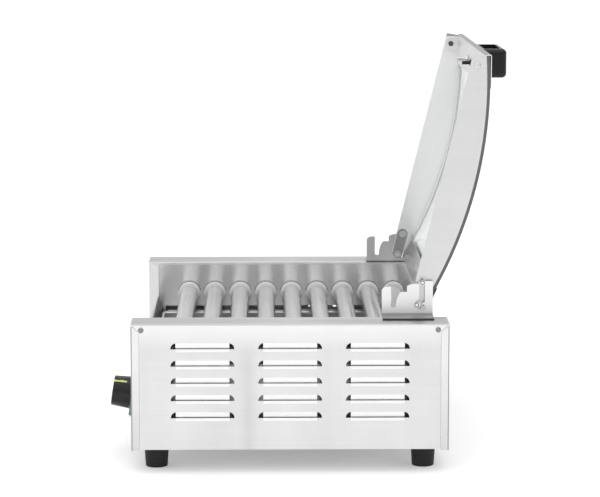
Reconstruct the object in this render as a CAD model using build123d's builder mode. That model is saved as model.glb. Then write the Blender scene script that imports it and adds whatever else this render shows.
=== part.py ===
"""Hot dog roller grill: nine driven heated rollers under a curved glass lid, shown open.

Millimetres. X runs along the rollers, -Y is the operator's side, +Z is up.
The origin is on the floor, at the middle of the whole object's outline.
"""
from build123d import *
from math import atan2, ceil, cos, degrees, hypot, pi, radians, sin, sqrt
import os

os.makedirs("parts", exist_ok=True)

# ---- driving dimensions: body ----
body_width = 590
body_depth = 400
front = -228.3
rear = front + body_depth
foot_height = 30
body_top = 190
housing_width = 54
sheet = 1.0
bend = 1.2
side_x = body_width / 2
wall_x = side_x - housing_width
flange_reach = 10.4
skirt_drop = 1.2
frame_top = body_top - sheet - 0.8

# ---- driving dimensions: rollers and drive ----
roller_count = 9
roller_radius = 12.5
roller_wall = 1.5
roller_pitch = 37.2
roller_z = 145.5
first_roller_y = front + 59
running_gap = 0.05
bush_radius = 16.5
bush_neck_radius = 14
sprocket_x = -260
sprocket_teeth = 15
chain_pitch = 6.35
pitch_radius = chain_pitch / 2 / sin(pi / sprocket_teeth)
motor_y = front + 208
motor_z = 72

# ---- driving dimensions: control panel ----
ridge_y = front + 12
ridge_z = 140
panel_foot_y = front - 2.2
panel_foot_z = 45
panel_tilt = degrees(atan2(ridge_y - panel_foot_y, ridge_z - panel_foot_z))
knob_x = 165
knob_z = 76.5
switch_x = 205
switch_z = 73.5

# ---- driving dimensions: lid, drawn open ----
pivot_y = front + 362
pivot_z = body_top + 14.4
locator_y = front + 369.2
locator_z = body_top + 43
glass_centre_y = front - 100
glass_centre_z = 488.4
glass_outer = 553.7
glass_thickness = 4
glass_inner = glass_outer - glass_thickness
lid_side_x = 228.6
lid_sheet = 1.2
lid_top_z = 521
bracket_x = 231.8
bracket_sheet = 2
chord_lean = 0.2473

roller_ys = [first_roller_y + roller_pitch * i for i in range(roller_count)]


def folded(plane, points, thickness, radius, side):
    """The section of a bent sheet whose outer surface follows the points."""
    with BuildSketch(plane) as section:
        with BuildLine():
            FilletPolyline(*points, radius=radius)
            offset(amount=thickness, side=side)
        make_face()
    return section.sketch


def rows(points):
    """Front-to-rear points, given from the front plane, as places in the row frame."""
    return [(front + y, z) for y, z in points]


def panel_point(x, z):
    """A point on the outer face of the sloping control panel."""
    slope = (ridge_y - panel_foot_y) / (ridge_z - panel_foot_z)
    return (x, ridge_y - (ridge_z - z) * slope, z)


def panel_plane(x, z):
    """A plane on the control panel, whose normal points out at the operator."""
    tilt = radians(panel_tilt)
    return Plane(origin=panel_point(x, z), x_dir=(1, 0, 0), z_dir=(0, -cos(tilt), sin(tilt)))


def export(part, label):
    """Name a finished piece and write it."""
    part.label = label
    export_step(part, f"parts/{label}.step")


def export_pair(part, label):
    """Write a right-hand piece and its left-hand mirror image."""
    export(mirror(part, about=Plane.YZ), f"left_{label}")
    export(part, f"right_{label}")


# ---- base pan: the floor of the body, with vents and foot holes ----
foot_x = 250
foot_ys = (front + 30, front + 370)
foot_spots = [(x, y) for x in (-foot_x, foot_x) for y in foot_ys]
pan_width = 2 * (side_x - 2)

with BuildPart() as base_pan:
    pan_points = rows([(1.6, 42), (1.6, foot_height), (397.6, foot_height), (397.6, 42)])
    pan_section = folded(Plane.YZ.offset(-pan_width / 2), pan_points, 1.2, bend, Side.LEFT)
    extrude(pan_section, amount=pan_width)
    with BuildSketch(Plane.XY.offset(foot_height)):
        with Locations(*foot_spots):
            Circle(2.7)
        with Locations((-wall_x + 90, front + 205), (wall_x - 90, front + 205)):
            with GridLocations(14, 60, 8, 3):
                SlotOverall(44, 4, rotation=90)
    extrude(amount=3, mode=Mode.SUBTRACT)
    # notches in the upturned edges, where the inner walls of the end frames pass
    with BuildSketch(Plane.XY.offset(foot_height + 1.25)):
        with Locations((-wall_x - 1.2, front + 200), (wall_x + 1.2, front + 200)):
            Rectangle(4.4, body_depth)
    extrude(amount=15, mode=Mode.SUBTRACT)
export(base_pan.part, "base_pan")

# ---- end frames: folded channels that carry the rollers ----
flare = 1.2
mitre_low = 181
groove_low = 119
groove_high = 125.5

with BuildPart() as end_frame:
    frame_points = [
        (side_x - 0.4, front + flange_reach),
        (side_x, front),
        (wall_x + flare, front),
        (wall_x, front + 14),
        (wall_x, rear - 14),
        (wall_x + flare, rear),
        (side_x, rear),
        (side_x - 0.4, rear - flange_reach),
    ]
    frame_low = foot_height - skirt_drop
    frame_section = folded(Plane.XY.offset(frame_low), frame_points, sheet, bend, Side.RIGHT)
    extrude(frame_section, amount=frame_top - frame_low)
    # the inner wall stops above the base pan, the outer folds reach below it
    with BuildSketch(Plane.XY.offset(frame_low - 1)):
        with Locations((wall_x + 1, front + body_depth / 2)):
            Rectangle(4, body_depth - 2.2)
    extrude(amount=foot_height + 1.3 - frame_low + 1, mode=Mode.SUBTRACT)
    # mitred tops of the two narrow outer folds
    with BuildSketch(Plane.YZ.offset(side_x - 3)):
        for y, direction in ((front, 1), (rear, -1)):
            with BuildLine():
                Polyline(
                    (y + direction * 11.5, mitre_low - 1.2),
                    (y + direction * 2.6, body_top - 3),
                    (y - direction * 1, body_top - 3),
                    (y - direction * 1, body_top + 1),
                    (y + direction * 11.5, body_top + 1),
                    close=True,
                )
            make_face()
    extrude(amount=6, mode=Mode.SUBTRACT)
    # bush holes, and the long groove above the drip tray
    with BuildSketch(Plane.YZ.offset(wall_x - 1)):
        with Locations(*[(y, roller_z) for y in roller_ys]):
            Circle(bush_neck_radius + 0.1)
        with Locations((front + 200, (groove_low + groove_high) / 2)):
            Rectangle(352, groove_high - groove_low)
        with Locations((motor_y, motor_z)):
            Circle(11)
    extrude(amount=4, mode=Mode.SUBTRACT)
export_pair(end_frame.part, "end_frame")

# ---- side covers: louvred outer wall and flat top in one sheet ----
louvre_columns = (90, 200, 310)
louvre_rows = [74.5 + 22 * i for i in range(5)]
louvre_length = 80
louvre_height = 7.6
louvre_end_gap = 6.2
louvre_depth = 2.6
blade_drop = 0.35
lip_height = 3.6
lip_depth = 0.45

with BuildPart() as side_cover:
    cover_points = [
        (side_x, foot_height + 0.3),
        (side_x, body_top),
        (wall_x - 1.2, body_top),
        (wall_x - 1.2, body_top - 4),
    ]
    cover_section = folded(Plane.XZ.offset(-rear), cover_points, sheet, 1.6, Side.LEFT)
    extrude(cover_section, amount=body_depth)
    # the outer wall stops at the narrow folds of the end frame, with a mitre at each top corner
    with BuildSketch(Plane.YZ.offset(side_x - 4)):
        for y, direction in ((front, 1), (rear, -1)):
            with BuildLine():
                Polyline(
                    (y - direction, 20),
                    (y + direction * (flange_reach + 0.25), 20),
                    (y + direction * (flange_reach + 0.25), mitre_low),
                    (y + direction * 2.9, body_top - 2.5),
                    (y - direction, body_top - 2.5),
                    close=True,
                )
            make_face()
    extrude(amount=6, mode=Mode.SUBTRACT)
    # louvre openings: straight lower edge, round upper corners
    with BuildSketch(mode=Mode.PRIVATE) as louvre_hole:
        Rectangle(louvre_length, louvre_height)
        fillet(louvre_hole.vertices().group_by(Axis.Y)[-1], radius=louvre_height - 0.6)
    with BuildSketch(Plane.YZ.offset(side_x - 3)):
        with Locations(*[(front + c, z) for c in louvre_columns for z in louvre_rows]):
            add(louvre_hole.sketch)
    extrude(amount=5, mode=Mode.SUBTRACT)
    # louvre blades: each is pressed in from its upper edge and ends just below the opening's edge
    blade_length = louvre_length - 2 * louvre_end_gap
    half = louvre_height / 2
    for column in louvre_columns:
        blade_plane = Plane.XZ.offset(-(front + column + blade_length / 2))
        with BuildSketch(blade_plane):
            for z in louvre_rows:
                with BuildLine():
                    outer = Spline(
                        (side_x, z + half + 0.8),
                        (side_x - louvre_depth * 0.5, z + half * 0.1),
                        (side_x - louvre_depth, z - half - blade_drop),
                        tangents=[(0, -1), (-0.3, -1)],
                    )
                    inner = Spline(
                        (side_x - sheet, z + half + 0.8),
                        (side_x - sheet - louvre_depth * 0.5, z + half * 0.1),
                        (side_x - sheet - louvre_depth, z - half - blade_drop),
                        tangents=[(0, -1), (-0.3, -1)],
                    )
                    Line(outer @ 0, inner @ 0)
                    Line(outer @ 1, inner @ 1)
                make_face()
        extrude(amount=blade_length)
        # the edge below each opening is drawn in a little
        with BuildSketch(blade_plane):
            for z in louvre_rows:
                with BuildLine():
                    Polyline(
                        (side_x, z - half - lip_height),
                        (side_x - lip_depth, z - half),
                        (side_x + 1, z - half),
                        (side_x + 1, z - half - lip_height),
                        close=True,
                    )
                make_face()
        extrude(amount=blade_length, mode=Mode.SUBTRACT)
    # screw holes in the top corners
    with BuildSketch(Plane.YZ.offset(side_x - 3)):
        with Locations((front + 13.1, body_top - 7.2), (rear - 14.5, body_top - 7.2)):
            Circle(1.8)
    extrude(amount=6, mode=Mode.SUBTRACT)
export_pair(side_cover.part, "side_cover")

# ---- control panel: sloping front with the tray slot and the control holes ----
panel_width = 2 * (wall_x - 0.2)
slot_low = 105.2
slot_high = 120
slot_width = 459

with BuildPart() as front_panel:
    panel_points = rows([(20.5, 124.5), (12, ridge_z), (-2.2, panel_foot_z), (-2.2, 28.8), (14, 28.8)])
    panel_section = folded(Plane.YZ.offset(-panel_width / 2), panel_points, sheet, bend, Side.LEFT)
    extrude(panel_section, amount=panel_width)
    with BuildSketch(Plane.XZ.offset(-(front - 6))):
        with Locations((0, (slot_low + slot_high) / 2)):
            Rectangle(slot_width, slot_high - slot_low)
    extrude(amount=-20, mode=Mode.SUBTRACT)
    with BuildSketch(panel_plane(knob_x, knob_z)):
        Circle(5.2)
    extrude(amount=4, both=True, mode=Mode.SUBTRACT)
    with BuildSketch(panel_plane(switch_x, switch_z)):
        Rectangle(22.2, 28.2)
    extrude(amount=4, both=True, mode=Mode.SUBTRACT)
export(front_panel.part, "front_panel")

# ---- rear panel, with the hole for the mains gland ----
rear_panel_top = 150
gland_x = -185
gland_z = 62
rear_panel_y = rear - 0.5

with BuildPart() as rear_panel:
    rear_points = [
        (rear_panel_y - 14, rear_panel_top),
        (rear_panel_y, rear_panel_top),
        (rear_panel_y, 28.8),
        (rear_panel_y - 14, 28.8),
    ]
    rear_section = folded(Plane.YZ.offset(-panel_width / 2), rear_points, sheet, bend, Side.RIGHT)
    extrude(rear_section, amount=panel_width)
    with BuildSketch(Plane.XZ.offset(-(rear - 4))):
        with Locations((gland_x, gland_z)):
            Circle(8.2)
        with Locations((-120, 70), (0, 70)):
            with GridLocations(12, 1, 6, 1):
                SlotOverall(36, 4, rotation=90)
    extrude(amount=-8, mode=Mode.SUBTRACT)
export(rear_panel.part, "rear_panel")

# ---- rubber feet and their screws ----
with BuildPart() as rubber_feet:
    with BuildSketch(Plane.XY):
        with Locations(*foot_spots):
            Circle(14)
    extrude(amount=foot_height, taper=-3.8)
    fillet(rubber_feet.edges().group_by(Axis.Z)[0], radius=1.6)
    with BuildSketch(Plane.XY):
        with Locations(*foot_spots):
            Circle(6.5)
    extrude(amount=22, mode=Mode.SUBTRACT)
    with BuildSketch(Plane.XY.offset(22)):
        with Locations(*foot_spots):
            Circle(2.7)
    extrude(amount=9, mode=Mode.SUBTRACT)
export(rubber_feet.part, "rubber_feet")

with BuildPart() as foot_screws:
    with BuildSketch(Plane.XY.offset(19)):
        with Locations(*foot_spots):
            Circle(4.6)
    extrude(amount=3)
    fillet(foot_screws.edges().group_by(Axis.Z)[0], radius=1.2)
    with BuildSketch(Plane.XY.offset(22)):
        with Locations(*foot_spots):
            Circle(2.5)
    extrude(amount=13)
    with BuildSketch(Plane.XY.offset(31.3)):
        with Locations(*foot_spots):
            RegularPolygon(4.5, 6)
            Circle(2.5, mode=Mode.SUBTRACT)
    extrude(amount=3.4)
    with BuildSketch(Plane.XY.offset(19)):
        with Locations(*foot_spots):
            Rectangle(5.4, 1.1)
            Rectangle(1.1, 5.4)
    extrude(amount=1.4, mode=Mode.SUBTRACT)
export(foot_screws.part, "foot_screws")

# ---- cover screws: pan heads in the top corners of both side covers ----
with BuildPart() as cover_screws:
    cover_screw_spots = [(front + 13.1, body_top - 7.2), (rear - 14.5, body_top - 7.2)]
    with BuildSketch(Plane.YZ.offset(side_x)):
        with Locations(*cover_screw_spots):
            Circle(3.5)
    extrude(amount=2)
    fillet(cover_screws.edges().group_by(Axis.X)[-1], radius=1.3)
    with BuildSketch(Plane.YZ.offset(side_x)):
        with Locations(*cover_screw_spots):
            Circle(1.7)
    extrude(amount=-9)
    with BuildSketch(Plane.YZ.offset(side_x + 2)):
        with Locations(*cover_screw_spots):
            Rectangle(4, 0.9, rotation=35)
            Rectangle(0.9, 4, rotation=35)
    extrude(amount=-1.2, mode=Mode.SUBTRACT)
    mirror(about=Plane.YZ)
export(cover_screws.part, "cover_screws")

# ---- roller bushes: pale plastic rings in both end frames ----
with BuildPart() as roller_bushes:
    spots = [(y, roller_z) for y in roller_ys]
    with BuildSketch(Plane.YZ.offset(wall_x - 4)):
        with Locations(*spots):
            Circle(bush_radius)
    extrude(amount=4)
    fillet(roller_bushes.edges().group_by(Axis.X)[0], radius=1.4)
    with BuildSketch(Plane.YZ.offset(wall_x)):
        with Locations(*spots):
            Circle(bush_neck_radius)
    extrude(amount=6)
    with BuildSketch(Plane.YZ.offset(wall_x - 5)):
        with Locations(*spots):
            Circle(roller_radius + running_gap)
    extrude(amount=14, mode=Mode.SUBTRACT)
    mirror(about=Plane.YZ)
export(roller_bushes.part, "roller_bushes")

# ---- rollers: hollow tubes, each with its sprocket on the left end ----
roller_left = -270
roller_right = 252
tip_radius = 16.5
root_radius = 14.0

with BuildSketch() as sprocket_tooth:
    with BuildLine():
        Polyline(
            (root_radius - 0.8, -1.9),
            (tip_radius, -0.6),
            (tip_radius, 0.6),
            (root_radius - 0.8, 1.9),
            close=True,
        )
    make_face()

with BuildSketch() as sprocket_outline:
    Circle(root_radius)
    with PolarLocations(0, sprocket_teeth):
        add(sprocket_tooth.sketch)

for index, y in enumerate(roller_ys, start=1):
    with BuildPart() as roller:
        with BuildSketch(Plane.YZ.offset(roller_left)):
            with Locations((y, roller_z)):
                Circle(roller_radius)
                Circle(roller_radius - roller_wall, mode=Mode.SUBTRACT)
        extrude(amount=roller_right - roller_left)
        chamfer(roller.edges().filter_by(GeomType.CIRCLE).sort_by(SortBy.RADIUS)[-2:], length=0.4)
    export(roller.part, f"roller_{index}")

    with BuildPart() as roller_sprocket:
        with BuildSketch(Plane.YZ.offset(sprocket_x - 1.4)):
            with Locations((y, roller_z)):
                add(sprocket_outline.sketch)
                Circle(roller_radius, mode=Mode.SUBTRACT)
        extrude(amount=2.8)
    export(roller_sprocket.part, f"roller_sprocket_{index}")

# ---- motor sprocket and shaft ----
with BuildPart() as motor_sprocket:
    with BuildSketch(Plane.YZ.offset(sprocket_x - 1.4)):
        with Locations((motor_y, motor_z)):
            add(sprocket_outline.sketch)
    extrude(amount=2.8)
    with BuildSketch(Plane.YZ.offset(sprocket_x + 1.4)):
        with Locations((motor_y, motor_z)):
            Circle(9.5)
    extrude(amount=8)
    with BuildSketch(Plane.YZ.offset(sprocket_x - 2)):
        with Locations((motor_y, motor_z)):
            Circle(4)
    extrude(amount=14, mode=Mode.SUBTRACT)
export(motor_sprocket.part, "motor_sprocket")

with BuildPart() as motor_shaft:
    with BuildSketch(Plane.YZ.offset(sprocket_x - 4)):
        with Locations((motor_y, motor_z)):
            Circle(4)
    extrude(amount=44)
    chamfer(motor_shaft.edges().group_by(Axis.X)[0], length=0.6)
export(motor_shaft.part, "motor_shaft")

# ---- gear motor on the inner face of the left end frame ----
motor_face_x = -wall_x + 1

with BuildPart() as gear_motor:
    with BuildSketch(Plane.YZ.offset(motor_face_x)):
        with Locations((motor_y, motor_z)):
            RectangleRounded(66, 58, 12)
    extrude(amount=24)
    with BuildSketch(Plane.YZ.offset(motor_face_x + 24)):
        with Locations((motor_y, motor_z)):
            Circle(27)
    extrude(amount=46)
    fillet(gear_motor.faces().sort_by(Axis.X)[-1].edges(), radius=3)
    with BuildSketch(Plane.YZ.offset(motor_face_x - 0.5)):
        with Locations((motor_y, motor_z)):
            Circle(10)
    extrude(amount=0.5)
    with BuildSketch(Plane.YZ.offset(motor_face_x - 1)):
        with Locations((motor_y, motor_z)):
            Circle(4 + running_gap)
    extrude(amount=25, mode=Mode.SUBTRACT)
export(gear_motor.part, "gear_motor")


# ---- drive chain: two rows of side plates round all the sprockets ----
def chain_pins(centres, radius, pitch):
    """Evenly spaced places on a loop round equal wheels, given in clockwise order."""
    runs = []
    for start, end in zip(centres, centres[1:] + centres[:1]):
        length = hypot(end[0] - start[0], end[1] - start[1])
        runs.append((start, atan2(end[1] - start[1], end[0] - start[0]), length))
    total = sum(run[2] for run in runs) + 2 * pi * radius
    count = 2 * ceil(total / pitch / 2)
    step = total / count
    places = []
    travelled = 0.0
    for number, (start, heading, length) in enumerate(runs):
        next_start, next_heading, _ = runs[(number + 1) % len(runs)]
        turn = (heading - next_heading) % (2 * pi)
        while travelled < length:
            outward = heading + pi / 2
            along_y = start[0] + travelled * cos(heading) + radius * cos(outward)
            along_z = start[1] + travelled * sin(heading) + radius * sin(outward)
            places.append((along_y, along_z))
            travelled += step
        travelled -= length
        while travelled < turn * radius:
            outward = heading + pi / 2 - travelled / radius
            along_y = next_start[0] + radius * cos(outward)
            along_z = next_start[1] + radius * sin(outward)
            places.append((along_y, along_z))
            travelled += step
        travelled -= turn * radius
    return places


plate_half = 2.2
plate_thickness = 0.9
plate_gap = 1.9
wheel_centres = [(roller_ys[0], roller_z), (roller_ys[-1], roller_z), (motor_y, motor_z)]
pin_spots = chain_pins(wheel_centres, pitch_radius, chain_pitch)


def loop_outline(grow):
    """The filled outline of a loop that stands a given distance off the three wheel centres."""
    with BuildSketch() as outline:
        with BuildLine():
            Polyline(*wheel_centres, close=True)
        make_face()
        offset(amount=grow)
    return outline.sketch


with BuildSketch() as plate_row:
    add(loop_outline(pitch_radius + plate_half - 0.8))
    add(loop_outline(pitch_radius - plate_half + 0.8), mode=Mode.SUBTRACT)
    with Locations(*pin_spots):
        Circle(plate_half)

with BuildPart() as drive_chain:
    for inner_x, direction in ((sprocket_x + plate_gap, 1), (sprocket_x - plate_gap, -1)):
        with BuildSketch(Plane.YZ.offset(inner_x)):
            add(plate_row.sketch)
        extrude(amount=direction * plate_thickness)
        with BuildSketch(Plane.YZ.offset(inner_x + direction * plate_thickness)):
            with Locations(*pin_spots):
                Circle(1.1)
        extrude(amount=direction * 0.5)
export(drive_chain.part, "drive_chain")

# ---- heating elements: fixed rods inside the rollers ----
element_left = -284
element_right = 270

with BuildPart() as heating_elements:
    for y in roller_ys:
        with BuildSketch(Plane.YZ.offset(element_left)):
            with Locations((y, roller_z)):
                Circle(4)
        extrude(amount=element_right - element_left)
        with BuildSketch(Plane.YZ.offset(element_right)):
            with Locations((y, roller_z)):
                Circle(1.6)
        extrude(amount=9)
export(heating_elements.part, "heating_elements")

with BuildPart() as element_holders:
    for wall, crown in ((wall_x + 1, 264), (-wall_x - 1, -280)):
        outwards = 1 if crown > 0 else -1
        holder_points = [
            (wall + outwards * sheet, front + 22),
            (wall + outwards * sheet, front + 34),
            (crown, front + 34),
            (crown, front + 378),
            (wall + outwards * sheet, front + 378),
            (wall + outwards * sheet, front + 385.8),
        ]
        turn_side = Side.LEFT if outwards > 0 else Side.RIGHT
        holder_section = folded(Plane.XY.offset(134), holder_points, sheet, bend, turn_side)
        extrude(holder_section, amount=23)
        with BuildSketch(Plane.YZ.offset(crown - 3)):
            with Locations(*spots):
                Circle(4.1)
        extrude(amount=6, mode=Mode.SUBTRACT)
export(element_holders.part, "element_holders")

# ---- drip tray and its rails ----
tray_wall_x = 221
tray_low = 106
tray_rim = 118.8
tray_sheet = 0.8

with BuildPart() as drip_tray:
    tray_points = [
        (-tray_wall_x - 7, tray_rim),
        (-tray_wall_x, tray_rim),
        (-tray_wall_x, tray_low),
        (tray_wall_x, tray_low),
        (tray_wall_x, tray_rim),
        (tray_wall_x + 7, tray_rim),
    ]
    # the tray's underside and the outer faces of its walls follow the points
    tray_section = folded(Plane.XZ.offset(-(front + 383)), tray_points, tray_sheet, bend, Side.LEFT)
    extrude(tray_section, amount=359)
    with BuildSketch(Plane.XZ.offset(-(front + 383))):
        with Locations((0, (tray_low + tray_rim) / 2)):
            Rectangle(2 * tray_wall_x - 0.2, tray_rim - tray_low)
    extrude(amount=tray_sheet)
    # front wall, folded over through the slot and down in front of the panel
    lip_top = rows([(24, tray_low), (24, tray_rim + 0.2), (7, tray_rim + 0.2)])
    extrude(
        folded(Plane.YZ.offset(-tray_wall_x + 0.1), lip_top, tray_sheet, 0.9, Side.RIGHT),
        amount=2 * tray_wall_x - 0.2,
    )
    with BuildSketch(Plane.YZ.offset(-slot_width / 2 - 3)):
        with BuildLine():
            Polyline(
                *rows([(6.9, 122.4), (7.8, 122.4), (5.1, 103.4), (4.2, 103.4)]),
                close=True,
            )
        make_face()
    extrude(amount=slot_width + 6)
    # finger tab at the middle
    tab_points = rows([(4.6, 103.5), (4.6, 104.3), (0.2, 104.3), (0.2, 101.8), (1.0, 101.8), (1.0, 103.5)])
    with BuildSketch(Plane.YZ.offset(-50)):
        with BuildLine():
            Polyline(*tab_points, close=True)
        make_face()
    extrude(amount=100)
export(drip_tray.part, "drip_tray")

with BuildPart() as tray_rails:
    rail_points = [(wall_x - 0.1, 104), (wall_x - 0.1, tray_rim - 0.9), (tray_wall_x + 1.6, tray_rim - 0.9)]
    rail_section = folded(Plane.XZ.offset(-(front + 380)), rail_points, sheet, bend, Side.LEFT)
    extrude(rail_section, amount=352)
    mirror(about=Plane.YZ)
export(tray_rails.part, "tray_rails")

# ---- thermostat, its spindle and the knob ----
knob_length = 33

with BuildPart() as thermostat:
    with BuildSketch(panel_plane(knob_x, knob_z).offset(-1.2)):
        RectangleRounded(42, 34, 3)
    extrude(amount=-26)
    with BuildSketch(panel_plane(knob_x, knob_z).offset(-1.3)):
        Circle(5)
    extrude(amount=6.3)
    with BuildSketch(panel_plane(knob_x, knob_z)):
        RegularPolygon(7.5, 6)
    extrude(amount=2.4)
    with BuildSketch(panel_plane(knob_x, knob_z).offset(6)):
        Circle(3 + running_gap)
    extrude(amount=-16, mode=Mode.SUBTRACT)
export(thermostat.part, "thermostat")

with BuildPart() as knob_spindle:
    with BuildSketch(panel_plane(knob_x, knob_z).offset(-9)):
        Circle(3)
    extrude(amount=31)
    chamfer(knob_spindle.faces().sort_by(Axis.Y)[0].edges(), length=0.5)
export(knob_spindle.part, "knob_spindle")

marker_turn = -38
marker_width = 3
marker_start = 16
with BuildPart() as thermostat_knob:
    with BuildSketch(panel_plane(knob_x, knob_z).offset(2)):
        Circle(21.5)
    extrude(amount=knob_length - 2, taper=4)
    fillet(thermostat_knob.faces().sort_by(Axis.Y)[0].edges(), radius=1.4)
    # shallow grip flutes round the side
    with BuildSketch(panel_plane(knob_x, knob_z).offset(10)):
        with PolarLocations(21.9, 12, start_angle=marker_turn + 105):
            Circle(2.1)
    extrude(amount=knob_length, mode=Mode.SUBTRACT)
    # hollow foot over the spindle nut
    with BuildSketch(panel_plane(knob_x, knob_z).offset(2)):
        Circle(9.5)
    extrude(amount=6, mode=Mode.SUBTRACT)
    with BuildSketch(panel_plane(knob_x, knob_z).offset(8)):
        Circle(3)
    extrude(amount=14, mode=Mode.SUBTRACT)
    # slot for the marker line
    with BuildSketch(panel_plane(knob_x, knob_z).offset(marker_start)):
        with PolarLocations(20.5, 1, start_angle=90 + marker_turn):
            Rectangle(5, marker_width)
    extrude(amount=knob_length, mode=Mode.SUBTRACT)
export(thermostat_knob.part, "thermostat_knob")

with BuildPart() as knob_marker:
    with BuildSketch(panel_plane(knob_x, knob_z).offset(marker_start)):
        with PolarLocations(18.65, 1, start_angle=90 + marker_turn):
            Rectangle(1.3, marker_width)
    extrude(amount=knob_length - marker_start)
    with BuildSketch(panel_plane(knob_x, knob_z).offset(marker_start)):
        with PolarLocations(19.7, 1, start_angle=90 + marker_turn):
            Rectangle(0.8, marker_width)
    extrude(amount=9)
export(knob_marker.part, "knob_marker")

# ---- mains switch under a clear splash cover ----
with BuildPart() as switch_housing:
    with BuildSketch(panel_plane(switch_x, switch_z)):
        RectangleRounded(26, 32, 2)
    extrude(amount=2)
    with BuildSketch(panel_plane(switch_x, switch_z)):
        Rectangle(21.8, 27.8)
    extrude(amount=-24)
    with BuildSketch(panel_plane(switch_x, switch_z).offset(2)):
        Rectangle(18, 24)
    extrude(amount=-18, mode=Mode.SUBTRACT)
    with BuildSketch(panel_plane(switch_x, switch_z).offset(-24)):
        with GridLocations(8, 8, 2, 2):
            Rectangle(0.8, 5)
    extrude(amount=-7)
export(switch_housing.part, "switch_housing")

rocker_width = 17.2
rocker_plane = Plane(
    origin=panel_point(switch_x - rocker_width / 2, switch_z),
    x_dir=panel_plane(switch_x, switch_z).z_dir,
    z_dir=(1, 0, 0),
)

with BuildPart() as rocker:
    # drawn from the side: X points out of the panel and Y points down it
    with BuildSketch(rocker_plane):
        with BuildLine():
            Polyline((0.4, 10.2), (-1.4, 10.2), (-9, 5), (-9, -5), (0.4, -10.2), (3.6, -10.2))
            ThreePointArc((3.6, -10.2), (1.4, 1.0), (0.4, 10.2))
        make_face()
    extrude(amount=rocker_width)
export(rocker.part, "rocker")

with BuildPart() as switch_cover:
    with BuildSketch(panel_plane(switch_x, switch_z)):
        RectangleRounded(31, 35.6, 5)
    extrude(amount=7.2, taper=7)
    fillet(switch_cover.faces().sort_by(Axis.Y)[0].edges(), radius=2)
    with BuildSketch(panel_plane(switch_x, switch_z)):
        RectangleRounded(28.8, 33.4, 4)
    extrude(amount=6, taper=7, mode=Mode.SUBTRACT)
export(switch_cover.part, "switch_cover")

# ---- terminal block and mains gland ----
with BuildPart() as terminal_block:
    block_low = foot_height + 1.3
    with BuildSketch(Plane.XY.offset(block_low)):
        with Locations((-145, front + 355)):
            Rectangle(46, 18)
    extrude(amount=10)
    with BuildSketch(Plane.XY.offset(block_low + 10)):
        with Locations((-145, front + 355)):
            with GridLocations(12, 1, 4, 1):
                Rectangle(9, 12)
    extrude(amount=6)
    with BuildSketch(Plane.XY.offset(block_low + 16)):
        with Locations((-145, front + 355)):
            with GridLocations(12, 1, 4, 1):
                Circle(2.4)
    extrude(amount=-7, mode=Mode.SUBTRACT)
export(terminal_block.part, "terminal_block")

with BuildPart() as cable_gland:
    gland_seat = rear_panel_y
    with BuildSketch(Plane.XZ.offset(-gland_seat)):
        with Locations((gland_x, gland_z)):
            RegularPolygon(12.5, 6)
    extrude(amount=-5)
    with BuildSketch(Plane.XZ.offset(-(gland_seat + 5))):
        with Locations((gland_x, gland_z)):
            Circle(10.5)
    extrude(amount=-11, taper=9)
    with BuildSketch(Plane.XZ.offset(-gland_seat)):
        with Locations((gland_x, gland_z)):
            Circle(8)
    extrude(amount=11)
    with BuildSketch(Plane.XZ.offset(-(gland_seat - 1.2))):
        with Locations((gland_x, gland_z)):
            RegularPolygon(12, 6)
    extrude(amount=5)
    with BuildSketch(Plane.XZ.offset(-(gland_seat + 20))):
        with Locations((gland_x, gland_z)):
            Circle(4.2)
    extrude(amount=40, mode=Mode.SUBTRACT)
export(cable_gland.part, "cable_gland")

# ---- hinge brackets: slotted plates standing on the housings ----
bracket_front = front + 317.4
bracket_rear = front + 382.6
locator_pin_radius = 1.6
pivot_pin_radius = 3.5
seat_radius = pivot_pin_radius + running_gap
locator_sweep = hypot(locator_y - pivot_y, locator_z - pivot_z)
hook_inner = locator_sweep - locator_pin_radius - 0.5
slot_inner = 26.5
slot_left_y = front + 329.4
slot_floor_z = body_top + 11
hook_left_y = front + 365
hook_right_y = front + 372.2
plate_top_z = body_top + 45
hump_z = body_top + 31
step_y = front + 349.5


def pivot_arc_point(radius, y):
    """The upper point at a given Y on a circle round the lid's pivot."""
    return (y, pivot_z + sqrt(radius**2 - (y - pivot_y) ** 2))


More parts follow.
